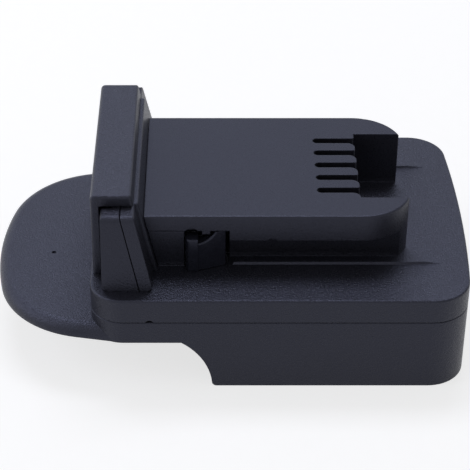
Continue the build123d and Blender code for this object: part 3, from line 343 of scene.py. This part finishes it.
# Floor: half its width in metres, its gap under the part in mm, and how bright it is by itself
FLOOR_HALF_WIDTH = 3.0
FLOOR_GAP = 0.02
FLOOR_GLOW = 0.72
FLOOR_GLOW_IN_REFLECTIONS = 0.5


def studio_floor():
    """A pale paper floor that shows nearly white and still takes the shadow."""
    grid = bmesh.new()
    bmesh.ops.create_grid(grid, x_segments=1, y_segments=1, size=FLOOR_HALF_WIDTH)
    mesh = bpy.data.meshes.new("studio_floor")
    grid.to_mesh(mesh)
    grid.free()
    floor = bpy.data.objects.new("studio_floor", mesh)
    bpy.context.scene.collection.objects.link(floor)
    dull = {"Roughness": 0.9, "Specular_IOR_Level": 0.1, "Emission_Color": linear("#ffffff")}
    material, tree, shader, place = start("studio_paper", **dull)
    fibre = add(tree, "ShaderNodeTexNoise", {"Vector": place, "Scale": across(4.0)}).outputs["Fac"]
    colour(tree, shader, fibre, "#b4b4b4", "#bababa")
    rays, seen = seen_rays(tree)
    shown = add(tree, "ShaderNodeMath", {0: seen, 1: FLOOR_GLOW}, operation="MULTIPLY")
    glossy = {0: rays["Is Glossy Ray"], 1: FLOOR_GLOW_IN_REFLECTIONS}
    mirrored = add(tree, "ShaderNodeMath", glossy, operation="MULTIPLY")
    glows = {0: shown.outputs[0], 1: mirrored.outputs[0]}
    brighter = add(tree, "ShaderNodeMath", glows, operation="MAXIMUM")
    tree.links.new(brighter.outputs[0], shader.inputs["Emission Strength"])
    mesh.materials.append(material)
    floor.location = (0, 0, cad_box[0][2] - FLOOR_GAP * MM)


studio_floor()


# Light: strengths of the white surroundings, as they light the part and as they are reflected
AMBIENT = 0.2
REFLECTED_AT_LEFT = 0.77
REFLECTED_AT_RIGHT = 0.45
REFLECTED_BEHIND = 1.2

# Parts of a direction between which the reflection rises, along Y, and fades, along X
RISE_RANGE = (-0.2, 0.7)
FADE_RANGE = (-0.6, 0.9)

# Two lamps, with places and sizes in metres
LAMP_TARGET = Vector((0, 0, 0.03))
LAMP_COLOUR = "#eef1ff"


def surroundings():
    """Even white light, whose reflection is cooler behind the part and fades to the right."""
    world = bpy.data.worlds.new("studio")
    bpy.context.scene.world = world
    world.use_nodes = True
    sky = world.node_tree
    background = sky.nodes["Background"]
    rays, seen = seen_rays(sky)
    glossy = rays["Is Glossy Ray"]
    direction = add(sky, "ShaderNodeTexCoord").outputs["Generated"]
    compass = add(sky, "ShaderNodeSeparateXYZ", {"Vector": direction}).outputs

    # Strength, by how far behind and how far to the right the light comes from
    rise = {"Value": compass["Y"], "From Min": RISE_RANGE[0], "From Max": RISE_RANGE[1]}
    behind = add(sky, "ShaderNodeMapRange", rise).outputs["Result"]
    fade = {
        "Value": compass["X"],
        "From Min": FADE_RANGE[0],
        "From Max": FADE_RANGE[1],
        "To Min": REFLECTED_AT_LEFT,
        "To Max": REFLECTED_AT_RIGHT,
    }
    sideways = add(sky, "ShaderNodeMapRange", fade).outputs["Result"]
    gain = {"Value": behind, "To Min": 1.0, "To Max": REFLECTED_BEHIND}
    raised = add(sky, "ShaderNodeMapRange", gain).outputs["Result"]
    product = {0: sideways, 1: raised}
    reflected = add(sky, "ShaderNodeMath", product, operation="MULTIPLY").outputs[0]
    levels = {"Factor": glossy, "A": AMBIENT, "B": reflected}
    soft = add(sky, "ShaderNodeMix", levels, data_type="FLOAT").outputs["Result"]
    strength = add(sky, "ShaderNodeMath", {0: soft, 1: seen}, operation="MAXIMUM").outputs[0]
    sky.links.new(strength, background.inputs["Strength"])

    # Colour, cooler only where it is reflected from behind
    cooled = add(sky, "ShaderNodeMath", {0: behind, 1: glossy}, operation="MULTIPLY").outputs[0]
    tones = {"Factor": cooled, "A": linear("#ffffff"), "B": linear("#e6ecff")}
    tone = add(sky, "ShaderNodeMix", tones, data_type="RGBA").outputs["Result"]
    sky.links.new(tone, background.inputs["Color"])


def softbox(name, place, width, depth, power):
    """A rectangular soft lamp aimed at the part."""
    lamp = bpy.data.lights.new(name, "AREA")
    lamp.shape = "RECTANGLE"
    lamp.size = width
    lamp.size_y = depth
    lamp.energy = power
    lamp.color = linear(LAMP_COLOUR)[:3]
    holder = bpy.data.objects.new(name, lamp)
    bpy.context.scene.collection.objects.link(holder)
    turn = (LAMP_TARGET - Vector(place)).to_track_quat("-Z", "Y").to_matrix().to_4x4()
    holder.matrix_world = Matrix.Translation(place) @ turn


surroundings()
softbox("back_softbox", (-0.05, 0.38, 0.9), width=0.6, depth=0.3, power=3.0)
softbox("left_softbox", (-0.8, -0.05, 0.5), width=0.6, depth=0.6, power=2.0)

# Camera, at the photograph's angle
CAMERA_ELEVATION = radians(34.94)
CAMERA_TARGET = Vector((-4.79, 0.0, 20.11)) * MM
CAMERA_DISTANCE = 461.5 * MM
IMAGE_PIXELS = 470
FOCAL_PIXELS = 1709
CENTRE_PIXEL = 211.5
SENSOR_WIDTH_MM = 36.0
NEAREST_SHOWN = 0.01
lens = bpy.data.cameras.new("camera")
lens.sensor_width = SENSOR_WIDTH_MM
lens.lens = FOCAL_PIXELS / IMAGE_PIXELS * lens.sensor_width
lens.shift_x = (IMAGE_PIXELS / 2 - CENTRE_PIXEL) / IMAGE_PIXELS
lens.clip_start = NEAREST_SHOWN
camera = bpy.data.objects.new("camera", lens)
bpy.context.scene.collection.objects.link(camera)
away = Vector((0, -cos(CAMERA_ELEVATION), sin(CAMERA_ELEVATION)))
camera.matrix_world = (
    Matrix.Translation(CAMERA_TARGET + away * CAMERA_DISTANCE)
    @ away.to_track_quat("Z", "Y").to_matrix().to_4x4()
)
bpy.context.scene.camera = camera
bpy.context.scene.view_settings.view_transform = "Standard"
